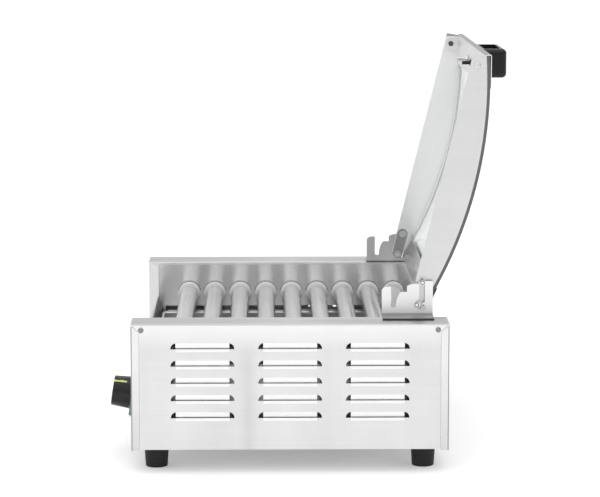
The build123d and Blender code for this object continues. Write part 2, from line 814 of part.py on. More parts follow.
with BuildPart() as hinge_bracket:
    with BuildSketch(Plane.YZ.offset(bracket_x)):
        with BuildLine():
            hump_start = (pivot_y - sqrt(slot_inner**2 - (hump_z - pivot_z) ** 2), hump_z)
            slot_right_foot = (pivot_y - sqrt(slot_inner**2 - (1.4) ** 2), pivot_z - 1.4)
            Polyline(
                slot_right_foot,
                (slot_right_foot[0] - 0.4, slot_floor_z + 0.6),
                (slot_right_foot[0] - 1.6, slot_floor_z),
                (slot_left_y + 1.4, slot_floor_z),
                (slot_left_y, slot_floor_z + 1.6),
                (slot_left_y, body_top + 38),
                (bracket_front, body_top + 38),
                (bracket_front, body_top + 1),
                (bracket_rear, body_top + 1),
                (bracket_rear, plate_top_z),
                (hook_right_y, plate_top_z),
                (hook_right_y, body_top + 18),
                (hook_left_y, body_top + 18),
                pivot_arc_point(hook_inner, hook_left_y),
            )
            middle_y = (hook_left_y + step_y) / 2
            ThreePointArc(
                pivot_arc_point(hook_inner, hook_left_y),
                pivot_arc_point(hook_inner, middle_y),
                pivot_arc_point(hook_inner, step_y),
            )
            Polyline(pivot_arc_point(hook_inner, step_y), (step_y, hump_z), hump_start)
            half_way = (hump_z + slot_right_foot[1]) / 2
            ThreePointArc(
                hump_start,
                (pivot_y - sqrt(slot_inner**2 - (half_way - pivot_z) ** 2), half_way),
                slot_right_foot,
            )
        make_face()
        # the hook slot bends to the pivot seat, then a short leg runs down and back
        elbow = (front + 368.6, body_top + 20.6)
        heel = (front + 370.4, body_top + 10.9)
        for end in (elbow, heel):
            length = hypot(end[0] - pivot_y, end[1] - pivot_z)
            lean = degrees(atan2(end[1] - pivot_z, end[0] - pivot_y))
            with Locations(((end[0] + pivot_y) / 2, (end[1] + pivot_z) / 2)):
                SlotCenterToCenter(length, 2 * seat_radius, rotation=lean, mode=Mode.SUBTRACT)
    extrude(amount=bracket_sheet)
    corner_edges = hinge_bracket.edges().filter_by(Axis.X)
    post_corner = corner_edges.sort_by_distance((bracket_x, bracket_front, body_top + 38))[0]
    fillet(post_corner, radius=6)
    flange_points = [
        (bracket_x, body_top + 6),
        (bracket_x, body_top + 0.1),
        (bracket_x + 31.4, body_top + 0.1),
    ]
    flange_section = folded(Plane.XZ.offset(-bracket_rear), flange_points, bracket_sheet, 2.3, Side.LEFT)
    extrude(flange_section, amount=bracket_rear - bracket_front)
export_pair(hinge_bracket.part, "hinge_bracket")


# ---- lid: two side plates, the curved glass and its two edge rails ----
def glass_point(radius, z):
    """A point on an arc round the glass's centre, at height z."""
    return (glass_centre_y + sqrt(radius**2 - (z - glass_centre_z) ** 2), z)


def glass_arc(radius, low_z, high_z):
    """Three points of the glass curve, for an arc from low to high."""
    return [glass_point(radius, z) for z in (low_z, (low_z + high_z) / 2, high_z)]


chord_top = (front + 431.5, lid_top_z + 2.6)
pivot_land = 8.4
chord_angle = atan2(1, chord_lean)
land_left = (pivot_y - pivot_land * sin(chord_angle), pivot_z + pivot_land * cos(chord_angle))
land_low = (pivot_y + pivot_land * 0.3, pivot_z - pivot_land * 0.954)
land_middle = (pivot_y - pivot_land * 0.78, pivot_z - pivot_land * 0.6258)
side_radius = glass_inner - 0.1
tip_z = 215.4

with BuildPart() as lid_side:
    with BuildSketch(Plane.YZ.offset(lid_side_x - lid_sheet)):
        with BuildLine():
            tip, bulge, shoulder = glass_arc(side_radius, tip_z, lid_top_z - 0.3)
            ThreePointArc(tip, bulge, shoulder)
            Polyline(shoulder, chord_top, land_left)
            ThreePointArc(land_left, land_middle, land_low)
            Line(land_low, tip)
        make_face()
    extrude(amount=lid_sheet)
    # the curved edge is folded inwards as a seat for the glass
    with BuildSketch(Plane.YZ.offset(lid_side_x - 11)):
        with BuildLine():
            low, middle, high = glass_arc(side_radius, 240, 474)
            ThreePointArc(low, middle, high)
            low_in, middle_in, high_in = glass_arc(side_radius - lid_sheet, 240, 474)
            ThreePointArc(low_in, middle_in, high_in)
            Line(low, low_in)
            Line(high, high_in)
        make_face()
    extrude(amount=11)
    rail_screw_spot = (front + 437.2, 508.8)
    with BuildSketch(Plane.YZ.offset(lid_side_x - 4)):
        with Locations(rail_screw_spot):
            Circle(2.1)
        with Locations((pivot_y, pivot_z)):
            Circle(pivot_pin_radius)
        with Locations((locator_y, locator_z)):
            Circle(locator_pin_radius)
    extrude(amount=6, mode=Mode.SUBTRACT)
export_pair(lid_side.part, "lid_side")

glass_low_z = 214.7
with BuildPart() as lid_glass:
    with BuildSketch(Plane.YZ.offset(-lid_side_x)):
        with BuildLine():
            low, middle, high = glass_arc(glass_outer, glass_low_z - 2, lid_top_z)
            ThreePointArc(low, middle, high)
            low_in, middle_in, high_in = glass_arc(glass_inner, glass_low_z, lid_top_z)
            ThreePointArc(low_in, middle_in, high_in)
            Line(low, low_in)
            Line(high, high_in)
        make_face()
    extrude(amount=2 * lid_side_x)
    handle_bolt_spots = [(-38, 499.5), (38, 499.5)]
    with BuildSketch(Plane.XZ.offset(-(front + 440))):
        with Locations(*handle_bolt_spots):
            Circle(3.5)
    extrude(amount=-25, mode=Mode.SUBTRACT)
export(lid_glass.part, "lid_glass")

flange_out_y = front + 455.2
flange_in_y = front + 447.5
with BuildPart() as front_rail:
    rail_points = [
        (flange_in_y, 479.5),
        (flange_in_y, lid_top_z + 1.3),
        (flange_out_y, lid_top_z + 1.3),
        (flange_out_y, 479),
    ]
    rail_section = folded(Plane.YZ.offset(-lid_side_x), rail_points, sheet, bend, Side.RIGHT)
    extrude(rail_section, amount=2 * lid_side_x)
    # the inner flange stops between the side plates
    with BuildSketch(Plane.YZ.offset(-lid_side_x - 1)):
        with Locations((flange_in_y, 498)):
            Rectangle(4.4, 46)
    extrude(amount=2.6, mode=Mode.SUBTRACT)
    with BuildSketch(Plane.YZ.offset(lid_side_x + 1)):
        with Locations((flange_in_y, 498)):
            Rectangle(4.4, 46)
    extrude(amount=-2.6, mode=Mode.SUBTRACT)
    # end tabs against the side plates
    for inner_x in (-lid_side_x + 1.6, lid_side_x - 2.6):
        with BuildSketch(Plane.YZ.offset(inner_x)):
            with BuildLine():
                Polyline(*rows([(448, 494), (430, 498), (430, 514), (448, 519)]), close=True)
            make_face()
        extrude(amount=sheet)
    with BuildSketch(Plane.YZ.offset(-lid_side_x)):
        with Locations(rail_screw_spot):
            Circle(2.1)
    extrude(amount=2 * lid_side_x, mode=Mode.SUBTRACT)
    with BuildSketch(Plane.XZ.offset(-(front + 440))):
        with Locations(*handle_bolt_spots):
            Circle(2.6)
    extrude(amount=-25, mode=Mode.SUBTRACT)
export(front_rail.part, "front_rail")

rear_rail_x = lid_side_x - lid_sheet - 0.3
with BuildPart() as rear_rail:
    rear_rail_points = rows([(381, 229.5), (367.3, 197.5), (382.2, 208.9), (389, 223.5)])
    rear_rail_section = folded(Plane.YZ.offset(-rear_rail_x), rear_rail_points, sheet, bend, Side.LEFT)
    extrude(rear_rail_section, amount=2 * rear_rail_x)
export(rear_rail.part, "rear_rail")

# ---- lid handle: a deep bow on the outer flange ----
handle_length = 110
handle_low = 480
handle_high = 518.6
handle_back_y = flange_out_y + 0.1
handle_out_y = front + 491

with BuildPart() as lid_handle:
    handle_middle_y = (handle_back_y + handle_out_y) / 2
    with BuildSketch(Plane.XY.offset(handle_low)):
        with Locations((0, handle_middle_y)):
            Rectangle(handle_length, handle_out_y - handle_back_y)
    extrude(amount=handle_high - handle_low)
    long_edges = lid_handle.edges().filter_by(Axis.X).group_by(Axis.Y)[-1]
    fillet(long_edges, radius=6)
    end_edges = lid_handle.edges().filter_by(Axis.Z).group_by(Axis.Y)[-1]
    fillet(end_edges, radius=7)
    with BuildSketch(Plane.XY.offset(handle_low)):
        with Locations((0, handle_middle_y - 1)):
            RectangleRounded(handle_length - 18, handle_out_y - handle_back_y - 14, 4)
    extrude(amount=handle_high - handle_low, mode=Mode.SUBTRACT)
    with BuildSketch(Plane.XZ.offset(-handle_back_y)):
        with Locations(*handle_bolt_spots):
            Circle(2.5)
    extrude(amount=-8, mode=Mode.SUBTRACT)
export(lid_handle.part, "lid_handle")

with BuildPart() as handle_bolts:
    bolt_inner_y = front + 432.5
    bolt_seat_y = handle_back_y + 6.1
    with BuildSketch(Plane.XZ.offset(-bolt_inner_y)):
        with Locations(*handle_bolt_spots):
            Circle(2.4)
    extrude(amount=-(bolt_seat_y - bolt_inner_y))
    with BuildSketch(Plane.XZ.offset(-bolt_seat_y)):
        with Locations(*handle_bolt_spots):
            Circle(4.5)
    extrude(amount=-2.6)
    with BuildSketch(Plane.XZ.offset(-(flange_in_y - 5.2))):
        with Locations(*handle_bolt_spots):
            RegularPolygon(4.6, 6)
    extrude(amount=-4)
    with BuildSketch(Plane.XZ.offset(-(flange_in_y - 1.2))):
        with Locations(*handle_bolt_spots):
            Circle(6)
    extrude(amount=-1.1)
export(handle_bolts.part, "handle_bolts")

# ---- pins and links that join the lid to the brackets ----
link_sheet = 2
link_outer_x = lid_side_x - lid_sheet - 0.1

with BuildPart() as hinge_links:
    with BuildSketch(Plane.YZ.offset(link_outer_x - link_sheet)):
        link_angle = degrees(atan2(locator_z - pivot_z, locator_y - pivot_y))
        with Locations(((pivot_y + locator_y) / 2, (pivot_z + locator_z) / 2)):
            SlotCenterToCenter(locator_sweep, 14.6, rotation=link_angle)
        with Locations((pivot_y, pivot_z)):
            Circle(pivot_pin_radius, mode=Mode.SUBTRACT)
        with Locations((locator_y, locator_z)):
            Circle(locator_pin_radius, mode=Mode.SUBTRACT)
    extrude(amount=link_sheet)
    mirror(about=Plane.YZ)
export(hinge_links.part, "hinge_links")

with BuildPart() as hinge_pins:
    pin_head_x = bracket_x + bracket_sheet + 0.4
    pin_inner_x = link_outer_x - link_sheet - 4
    pivot_pin = ((pivot_y, pivot_z), pivot_pin_radius)
    locator_pin = ((locator_y, locator_z), locator_pin_radius)
    for centre, shank in (pivot_pin, locator_pin):
        with BuildSketch(Plane.YZ.offset(pin_inner_x)):
            with Locations(centre):
                Circle(shank)
        extrude(amount=pin_head_x - pin_inner_x)
        with BuildSketch(Plane.YZ.offset(pin_head_x)):
            with Locations(centre):
                Circle(3.45)
        extrude(amount=1.8)
        # ring groove in the end of the pin
        with BuildSketch(Plane.YZ.offset(pin_head_x + 1.8)):
            with Locations(centre):
                Circle(2.9)
                Circle(1.9, mode=Mode.SUBTRACT)
        extrude(amount=-1.2, mode=Mode.SUBTRACT)
        with BuildSketch(Plane.YZ.offset(link_outer_x - link_sheet - 3.4)):
            with Locations(centre):
                RegularPolygon(5.6, 6)
                Circle(shank, mode=Mode.SUBTRACT)
        extrude(amount=3.3)
        # the shoulder keeps the lid off the bracket
        with BuildSketch(Plane.YZ.offset(lid_side_x + 0.1)):
            with Locations(centre):
                Circle(4.6)
                Circle(shank, mode=Mode.SUBTRACT)
        extrude(amount=2.4)
    mirror(about=Plane.YZ)
export(hinge_pins.part, "hinge_pins")

with BuildPart() as rail_screws:
    with BuildSketch(Plane.YZ.offset(lid_side_x)):
        with Locations(rail_screw_spot):
            Circle(4.5)
    extrude(amount=2.4)
    fillet(rail_screws.edges().group_by(Axis.X)[-1], radius=2)
    with BuildSketch(Plane.YZ.offset(lid_side_x)):
        with Locations(rail_screw_spot):
            Circle(2)
    extrude(amount=-7)
    with BuildSketch(Plane.YZ.offset(lid_side_x - 6)):
        with Locations(rail_screw_spot):
            RegularPolygon(4, 6)
            Circle(2, mode=Mode.SUBTRACT)
    extrude(amount=3.2)
    mirror(about=Plane.YZ)
export(rail_screws.part, "rail_screws")
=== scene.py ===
"""Looks for the hot dog roller grill: materials, floor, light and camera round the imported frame.

Metres and watts. X runs along the rollers, -Y is the operator's side and +Z is up.
"""

import bpy
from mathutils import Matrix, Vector


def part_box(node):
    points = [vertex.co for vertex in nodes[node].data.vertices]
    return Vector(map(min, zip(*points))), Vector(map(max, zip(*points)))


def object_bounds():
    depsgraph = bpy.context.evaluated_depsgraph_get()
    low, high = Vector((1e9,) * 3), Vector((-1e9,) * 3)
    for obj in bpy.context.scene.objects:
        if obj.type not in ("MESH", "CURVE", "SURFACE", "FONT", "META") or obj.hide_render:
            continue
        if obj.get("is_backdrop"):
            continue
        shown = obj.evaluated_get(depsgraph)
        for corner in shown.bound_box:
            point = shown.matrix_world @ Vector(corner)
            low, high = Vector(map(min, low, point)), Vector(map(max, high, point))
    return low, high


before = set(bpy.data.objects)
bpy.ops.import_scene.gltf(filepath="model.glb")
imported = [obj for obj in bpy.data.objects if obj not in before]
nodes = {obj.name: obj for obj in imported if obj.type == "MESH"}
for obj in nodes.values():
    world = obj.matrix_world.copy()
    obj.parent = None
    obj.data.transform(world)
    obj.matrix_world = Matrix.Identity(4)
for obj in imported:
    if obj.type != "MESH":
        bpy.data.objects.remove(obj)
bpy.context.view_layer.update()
low, high = (Vector(corner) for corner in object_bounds())

# ---- places on the pieces, where their materials change ----
panel_low, panel_high = (Vector(corner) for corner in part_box("front_panel"))
frame_low, frame_high = (Vector(corner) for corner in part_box("right_end_frame"))
first_roller = (Vector(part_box("roller_1")[0]) + Vector(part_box("roller_1")[1])) / 2
roller_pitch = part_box("roller_2")[0][1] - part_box("roller_1")[0][1]
bush_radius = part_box("roller_bushes")[1][2] - first_roller.z
bracket_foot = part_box("right_hinge_bracket")[0][2]
lid_side_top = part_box("right_lid_side")[1][2]
pin_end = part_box("hinge_pins")[1][0]
fold_start = high.x - 0.006
top_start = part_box("right_side_cover")[1][2] - 0.002
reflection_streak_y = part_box("right_side_cover")[0][1] + 0.147
return_start = panel_low.y + 0.0145


# ---- shader helpers ----
class Shader:
    """One material: a Principled shader and short ways to add nodes that feed it.

    A point's place and the way its surface faces are in its piece's own axes, and so move with the piece.
    """

    def __init__(self, name):
        self.material = bpy.data.materials.new(name)
        self.material.use_nodes = True
        self.tree = self.material.node_tree
        self.tree.nodes.clear()
        self.output = self.tree.nodes.new("ShaderNodeOutputMaterial")
        self.surface = self.tree.nodes.new("ShaderNodeBsdfPrincipled")
        self.link(self.surface.outputs["BSDF"], self.output.inputs["Surface"])
        coordinates = self.node("ShaderNodeTexCoord").outputs
        self.place = coordinates["Object"]
        self.facing = coordinates["Normal"]

    def link(self, source, socket):
        self.tree.links.new(source, socket)

    def node(self, kind, settings=None, **inputs):
        """Adds a node. Inputs are numbers, tuples or other nodes' outputs, by socket name or index."""
        made = self.tree.nodes.new(kind)
        for key, value in (settings or {}).items():
            setattr(made, key, value)
        for key, value in inputs.items():
            self.feed(made.inputs[int(key[1:])] if key[0] == "_" else made.inputs[key], value)
        return made

    def feed(self, socket, value):
        """Links another node's output to a socket, or sets the socket to a plain value."""
        if isinstance(value, bpy.types.NodeSocket):
            self.link(value, socket)
        else:
            socket.default_value = value

    def set(self, **values):
        """Sets or feeds the Principled shader's sockets, named with underscores for spaces."""
        for key, value in values.items():
            self.feed(self.surface.inputs[key.replace("_", " ")], value)

    def axes(self, vector):
        """A vector's X, Y and Z."""
        return self.node("ShaderNodeSeparateXYZ", Vector=vector).outputs

    def noise(self, stretch, detail=3.0, rough=0.55):
        """Noise over the piece, with its own number of lumps in a metre along X, Y and Z."""
        mapped = self.node("ShaderNodeMapping", Vector=self.place, Scale=stretch).outputs[0]
        made = self.node("ShaderNodeTexNoise", Vector=mapped, Scale=1.0, Detail=detail, Roughness=rough)
        return made.outputs["Fac"]

    def spread(self, value, low_out, high_out, low_in=0.3, high_in=0.7):
        """Maps a value that runs between two limits onto two others."""
        made = self.node("ShaderNodeMapRange", _0=value, _1=low_in, _2=high_in, _3=low_out, _4=high_out)
        return made.outputs[0]

    def math(self, operation, first, second=0.0):
        return self.node("ShaderNodeMath", {"operation": operation}, _0=first, _1=second).outputs[0]

    def total(self, first, *others):
        """The sum of two or more values."""
        for other in others:
            first = self.math("ADD", first, other)
        return first

    def above(self, value, limit):
        """One where a value is above a limit, and nought elsewhere."""
        return self.math("GREATER_THAN", value, limit)

    def below(self, value, limit):
        """One where a value is below a limit, and nought elsewhere."""
        return self.math("LESS_THAN", value, limit)

    def both(self, first, second):
        """Where two masks overlap."""
        return self.math("MULTIPLY", first, second)

    def either(self, first, second):
        """Where one mask or the other is on."""
        return self.math("MAXIMUM", first, second)

    def size_of(self, value):
        """A value without its sign."""
        return self.math("ABSOLUTE", value)

    def mix(self, factor, first, second):
        """Mixes two colours."""
        made = self.node("ShaderNodeMix", {"data_type": "RGBA"}, _0=factor, _6=first, _7=second)
        return made.outputs[2]

    def blend(self, factor, first, second):
        """Mixes two shaders."""
        made = self.node("ShaderNodeMixShader", _0=factor)
        self.link(first, made.inputs[1])
        self.link(second, made.inputs[2])
        return made.outputs[0]

    def bump(self, height, distance):
        made = self.node("ShaderNodeBump", Height=height, Distance=distance, Strength=1.0)
        return made.outputs["Normal"]


def rgb(value, warmth=0.0):
    """A near-neutral colour."""
    return (value * (1 + warmth), value, value * (1 - warmth), 1.0)


def even(scale):
    """A noise scale that is the same along all three axes."""
    return (scale, scale, scale)


def drawn_out(along, slow, fast):
    """A noise scale that is slow along one axis and fast across it."""
    return tuple(slow if axis == along else fast for axis in "xyz")


# ---- kinds of surface ----
def brushed(name, tone, roughness, along="y", aniso=0.75, streaks=0.05, shade=None):
    """Brushed sheet: fine grain along one axis, soft marks drawn out with it and slow drifts in tone."""
    grain_depth = 0.000006
    drift_scale = (11, 2.5, 2.5) if along == "x" else (11, 11, 2.5)
    sh = Shader(name)
    fibre = sh.noise(drawn_out(along, 5, 900), detail=2.0)
    band = sh.noise(drawn_out(along, 2, 120), detail=2.0)
    drift = sh.noise(drift_scale)
    smudge = sh.noise(even(30), detail=5.0, rough=0.7)
    lightness = sh.total(sh.spread(fibre, 0.46, 0.54), sh.spread(band, -0.03, 0.03),
                         sh.spread(drift, -streaks * 2, streaks * 2))
    colour = sh.mix(lightness, rgb(tone * 0.75), rgb(min(tone * 1.25, 1.0)))
    rough = sh.total(sh.spread(fibre, -0.02, 0.02), sh.spread(smudge, roughness - 0.02, roughness + 0.05))
    around = "X" if along == "x" else "Z"
    tangent = sh.node("ShaderNodeTangent", {"direction_type": "RADIAL", "axis": around})
    sh.set(Base_Color=shade(sh, colour) if shade else colour)
    sh.set(Metallic=1.0, Roughness=rough, Anisotropic=aniso, Anisotropic_Rotation=0.25)
    sh.set(Tangent=tangent.outputs[0], Normal=sh.bump(fibre, grain_depth))
    return sh.material


def turned(name, tone, roughness):
    """Bright turned tube: faint rings round X, long soft streaks and light handling marks."""
    ring_depth = 0.000004
    sh = Shader(name)
    rings = sh.noise((700, 10, 10), detail=2.0)
    patches = sh.noise((16, 50, 50), detail=5.0, rough=0.6)
    streak = sh.noise((4, 160, 160))
    lightness = sh.total(sh.spread(rings, 0.46, 0.54), sh.spread(patches, -0.1, 0.08),
                         sh.spread(streak, -0.1, 0.1))
    rough = sh.total(sh.spread(rings, -0.015, 0.015), sh.spread(patches, roughness, roughness + 0.06))
    sh.set(Base_Color=sh.mix(lightness, rgb(tone * 0.7, 0.008), rgb(min(tone * 1.25, 1.0))))
    sh.set(Metallic=1.0, Roughness=rough, Normal=sh.bump(rings, ring_depth))
    return sh.material


def metal(name, tone, roughness, warmth=0.0, speck=0.08, shade=None):
    """Plain metal with mottled tone and handling marks."""
    mottle_depth = 0.00003
    sh = Shader(name)
    mottle = sh.noise(even(120), detail=5.0, rough=0.65)
    patches = sh.noise(even(25))
    lightness = sh.total(sh.spread(mottle, 0.5 - speck, 0.5 + speck), sh.spread(patches, -speck, speck))
    colour = sh.mix(lightness, rgb(tone * 0.6, warmth), rgb(min(tone * 1.4, 1.0), warmth))
    sh.set(Base_Color=shade(sh, colour) if shade else colour, Metallic=1.0)
    sh.set(Roughness=sh.spread(mottle, roughness - 0.06, roughness + 0.08))
    sh.set(Normal=sh.bump(mottle, mottle_depth))
    return sh.material


def plastic(name, colour, roughness, grain_depth=0.00004, tone_shift=0.25, sheen=0.5, shade=None):
    """Moulded plastic or rubber: fine grain, soft dust and rubbed patches."""
    sh = Shader(name)
    grain = sh.noise(even(1500), detail=2.0)
    dust = sh.noise((45, 45, 60), detail=5.0, rough=0.7)
    dark = tuple(c * (1 - tone_shift) for c in colour) + (1.0,)
    light = tuple(min(c * (1 + tone_shift) + 0.002, 1.0) for c in colour) + (1.0,)
    coat = sh.mix(sh.spread(dust, 0.2, 0.8), dark, light)
    rough = sh.total(sh.spread(dust, roughness - 0.07, roughness + 0.09), sh.spread(grain, -0.03, 0.03))
    sh.set(Base_Color=shade(sh, coat) if shade else coat, Roughness=rough, Specular_IOR_Level=sheen)
    sh.set(Normal=sh.bump(grain, grain_depth))
    return sh.material


def lid_glass():
    """Clear toughened glass with a trace of grease and ground edges. The edge faces, at the ends and on
    top, carry painted shade as glass edges look dark edge-on, darker on the right half than on the left.
    """
    clear_share = 0.62
    sh = Shader("toughened_glass")
    smear = sh.noise((14, 14, 5), detail=5.0, rough=0.7)
    sh.set(Base_Color=(0.93, 0.965, 0.955, 1.0), Roughness=sh.spread(smear, 0.0, 0.05))
    sh.set(Transmission_Weight=1.0, IOR=1.5)
    clear = sh.node("ShaderNodeBsdfTransparent", Color=(0.93, 0.947, 0.942, 1.0))
    pane = sh.blend(clear_share, sh.surface.outputs[0], clear.outputs[0])
    grind = sh.noise(even(700), detail=2.0)
    # painted shade on the edge faces: near black on the right half, a lighter grey on the left half
    right_half = sh.above(sh.axes(sh.place)[0], 0.0)
    painted_edge_shade = sh.mix(grind, (0.05, 0.058, 0.056, 1), (0.13, 0.145, 0.14, 1))
    edge = sh.node("ShaderNodeBsdfPrincipled", Roughness=sh.spread(grind, 0.3, 0.5))
    sh.link(sh.mix(right_half, (0.4, 0.44, 0.43, 1), painted_edge_shade), edge.inputs["Base Color"])
    facing = sh.axes(sh.facing)
    side = sh.above(sh.size_of(facing[0]), 0.7)
    top = sh.above(sh.size_of(facing[2]), 0.97)
    sh.link(sh.blend(sh.either(side, top), pane, edge.outputs[0]), sh.output.inputs["Surface"])
    return sh.material


def clear_cover():
    """Soft clear splash cover with a pale teal cast and cloudy patches."""
    sh = Shader("clear_soft_plastic")
    cloud = sh.noise(even(90), detail=4.0)
    sh.set(Base_Color=sh.mix(cloud, (0.3, 0.55, 0.48, 1), (0.5, 0.72, 0.66, 1)))
    sh.set(Roughness=sh.spread(cloud, 0.08, 0.25), Normal=sh.bump(cloud, 0.0001))
    sh.set(Transmission_Weight=0.9, IOR=1.4)
    return sh.material


# ---- shades: painted shade and painted light at one fold, edge or face of a piece ----
def panel_shade(sh, colour):
    """Paints shade on the flat return behind the control panel's ridge, fading in over a millimetre."""
    fade = 0.001
    return_end = panel_high.y + fade
    depth = sh.axes(sh.place)[1]
    return_shade = sh.both(sh.spread(depth, 0, 1, return_start, return_start + fade),
                     sh.spread(depth, 1, 0, return_end - fade, return_end))
    # painted shade: the return is set near black
    return sh.mix(return_shade, colour, rgb(0.16))


def fold_shade(sh, colour):
    """Paints shade on the end frames' outer folds, darkest at their feet, with painted shadow lines along
    their edges, and paints a duller reflection on the front flare.
    """
    edge_width = 0.0016
    foot_z, head_z = 0.03, 0.15
    place = sh.axes(sh.place)
    fold = sh.above(sh.size_of(place[0]), fold_start)
    # painted shade: the folds darken towards their feet
    height_shade = sh.spread(place[2], 0.25, 0.85, foot_z, head_z)
    # painted shadow lines along the folds' front and rear edges
    edge = sh.either(sh.below(place[1], frame_low.y + edge_width),
                     sh.above(place[1], frame_high.y - edge_width))
    fold_colour = sh.mix(edge, sh.mix(height_shade, rgb(0.56), rgb(0.82)), rgb(0.32))
    # painted shade dulling the reflection on the flare in front of the rollers
    flare_shade = sh.spread(place[1], 1, 0, frame_low.y + 0.0145, frame_low.y + 0.017)
    return sh.mix(fold, sh.mix(flare_shade, colour, rgb(0.62)), fold_colour)


def sheet_shade(sh, colour):
    """Paints a soft dark reflection streak down a side cover, painted highlights on its upper face, its
    louvre blades and the lips below them, and painted shade on its bends and its flat top.
    """
    reflection_reach = 0.013
    place = sh.axes(sh.place)
    upward = sh.axes(sh.facing)[2]
    # painted reflection: a soft dark streak down the face, fading out below the top
    beside_reflection = sh.size_of(sh.math("SUBTRACT", place[1], reflection_streak_y))
    below_top = sh.spread(place[2], 1, 0, top_start - 0.05, top_start - 0.02)
    streak = sh.both(sh.spread(beside_reflection, 0.28, 0.0, 0.0, reflection_reach), below_top)
    # painted highlights: the face lighter towards its top, and the louvre blades and the lips below them
    # lighter
    top_highlight = sh.spread(place[2], 0, 0.6, top_start - 0.03, top_start - 0.004)
    blade_highlight = sh.below(upward, -0.05)
    lip_highlight = sh.both(sh.above(upward, 0.05), sh.below(upward, 0.3))
    lip_highlight = sh.both(lip_highlight, sh.below(place[2], top_start - 0.01))
    # painted shade on the bends and on the flat top
    bend_shade = sh.both(sh.above(upward, 0.3), sh.below(upward, 0.8))
    top_shade = sh.above(upward, 0.8)
    masks = ((streak, 0.42), (top_highlight, 0.9), (blade_highlight, 0.86), (lip_highlight, 0.97), (bend_shade, 0.5), (top_shade, 0.6))
    for mask, tone in masks:
        colour = sh.mix(mask, colour, rgb(tone))
    return colour


def bush_shade(sh, colour):
    """Paints a dark shadow line over each bush, along the upper half of its rim, for the shaded gap above
    it.
    """
    rim_shadow_width = 0.0009
    place = sh.axes(sh.place)
    # the half pitch puts each bush at the middle of a remainder, and the ten keep the length positive
    along = sh.math("ADD", place[1], 10.5 * roller_pitch - first_roller.y)
    across = sh.math("SUBTRACT", sh.math("MODULO", along, roller_pitch), roller_pitch / 2)
    height = sh.math("SUBTRACT", place[2], first_roller.z)
    offset = sh.node("ShaderNodeCombineXYZ", _0=across, _1=height).outputs[0]
    radius = sh.node("ShaderNodeVectorMath", {"operation": "LENGTH"}, _0=offset).outputs["Value"]
    # painted shadow on the upper rim
    rim_shadow = sh.both(sh.above(radius, bush_radius - rim_shadow_width), sh.above(height, 0.002))
    return sh.mix(rim_shadow, colour, rgb(0.16))


def inner_face(sh):
    """One on the faces of a pair of plates that look at each other, and nought elsewhere."""
    side = sh.math("SIGN", sh.axes(sh.place)[0])
    return sh.below(sh.math("MULTIPLY", sh.axes(sh.facing)[0], side), -0.5)


def bracket_shade(sh, colour):
    """Paints shade on a bracket's inner face and on its foot, a darker painted shadow along its bottom
    edge, and darkens the cut edges of its slots, partly for their oxide and partly as painted shade.
    """
    height = sh.axes(sh.place)[2]
    foot_band_shade = sh.spread(height, 1, 0, bracket_foot + 0.003, bracket_foot + 0.0042)
    bottom_shadow = sh.below(height, bracket_foot + 0.0016)
    cut_edge_oxide_and_shade = sh.below(sh.size_of(sh.axes(sh.facing)[0]), 0.5)
    # painted shade on the inner face and the foot, painted shadow on the bottom edge, and both oxide and
    # painted shade on the cut edges
    for mask, tone in ((inner_face(sh), 0.66), (foot_band_shade, 0.46), (bottom_shadow, 0.07), (cut_edge_oxide_and_shade, 0.3)):
        colour = sh.mix(mask, colour, rgb(tone))
    return colour


def lid_shade(sh, colour):
    """Paints light on the inner faces of the lid's two sides, below a strip of painted shade along their
    tops that stands in for a shaded top flange.
    """
    flange_shade_height = 0.0042
    flange_shade = sh.above(sh.axes(sh.place)[2], lid_side_top - flange_shade_height)
    # painted light on the inner faces, painted shade on the top strip
    return sh.mix(inner_face(sh), colour, sh.mix(flange_shade, rgb(0.92), rgb(0.4)))


def rail_shade(sh, colour):
    """Paints shade on the top of the handle rail and painted light on its end tabs."""
    facing = sh.axes(sh.facing)
    # painted shade on the upward faces, painted light on the end tabs
    colour = sh.mix(sh.above(facing[2], 0.6), colour, rgb(0.34))
    return sh.mix(sh.above(sh.size_of(facing[0]), 0.7), colour, rgb(0.85))


def shaded_end(sign, tone):
    """A painted shade that darkens the pieces of a node on one side of the middle."""

    def shade(sh, colour):
        outward = sh.math("MULTIPLY", sh.axes(sh.place)[0], sign)
        return sh.mix(sh.above(outward, 0.0), colour, rgb(tone))

    return shade


def pin_shade(sh, colour):
    """Paints shade on a pin's barrel and in the groove in its end."""
    reach = sh.size_of(sh.axes(sh.place)[0])
    barrel_shade = sh.below(sh.size_of(sh.axes(sh.facing)[0]), 0.9)
    groove_shade = sh.spread(reach, 0, 1, pin_end - 0.0016, pin_end - 0.0014)
    groove_shade = sh.both(groove_shade, sh.below(reach, pin_end - 0.0006))
    # painted shade on the barrel and in the groove
    return sh.mix(sh.either(barrel_shade, groove_shade), colour, rgb(0.1))


# ---- materials ----
sheet_steel = brushed("brushed_sheet", 0.7, 0.3, shade=sheet_shade)
# lit and shaded copies of one sheet: the far end frame's copy is painted light, the near one's is painted
# shade
lit_inner_steel = brushed("lit_inner_sheet", 0.98, 0.2, aniso=0.9, shade=fold_shade)
shaded_inner_steel = brushed("shaded_inner_sheet", 0.66, 0.24, aniso=0.9, shade=fold_shade)
panel_steel = brushed("brushed_panel", 0.56, 0.3, along="x", shade=panel_shade)
tray_steel = brushed("tray_sheet", 0.5, 0.3, along="x")
lid_steel = brushed("lid_sheet", 0.68, 0.32, streaks=0.03, shade=lid_shade)
rail_steel = brushed("lid_rail_sheet", 0.6, 0.28, along="x", streaks=0.03, shade=rail_shade)
rear_rail_steel = metal("polished_rail_sheet", 0.56, 0.14, speck=0.14)
bracket_steel = brushed("bracket_sheet", 1.0, 0.3, shade=bracket_shade)
link_steel = brushed("link_sheet", 0.42, 0.3)
pan_steel = metal("galvanised_sheet", 0.5, 0.45)
roller_steel = turned("turned_tube", 0.78, 0.14)
drive_steel = metal("oiled_steel", 0.22, 0.38, 0.02)
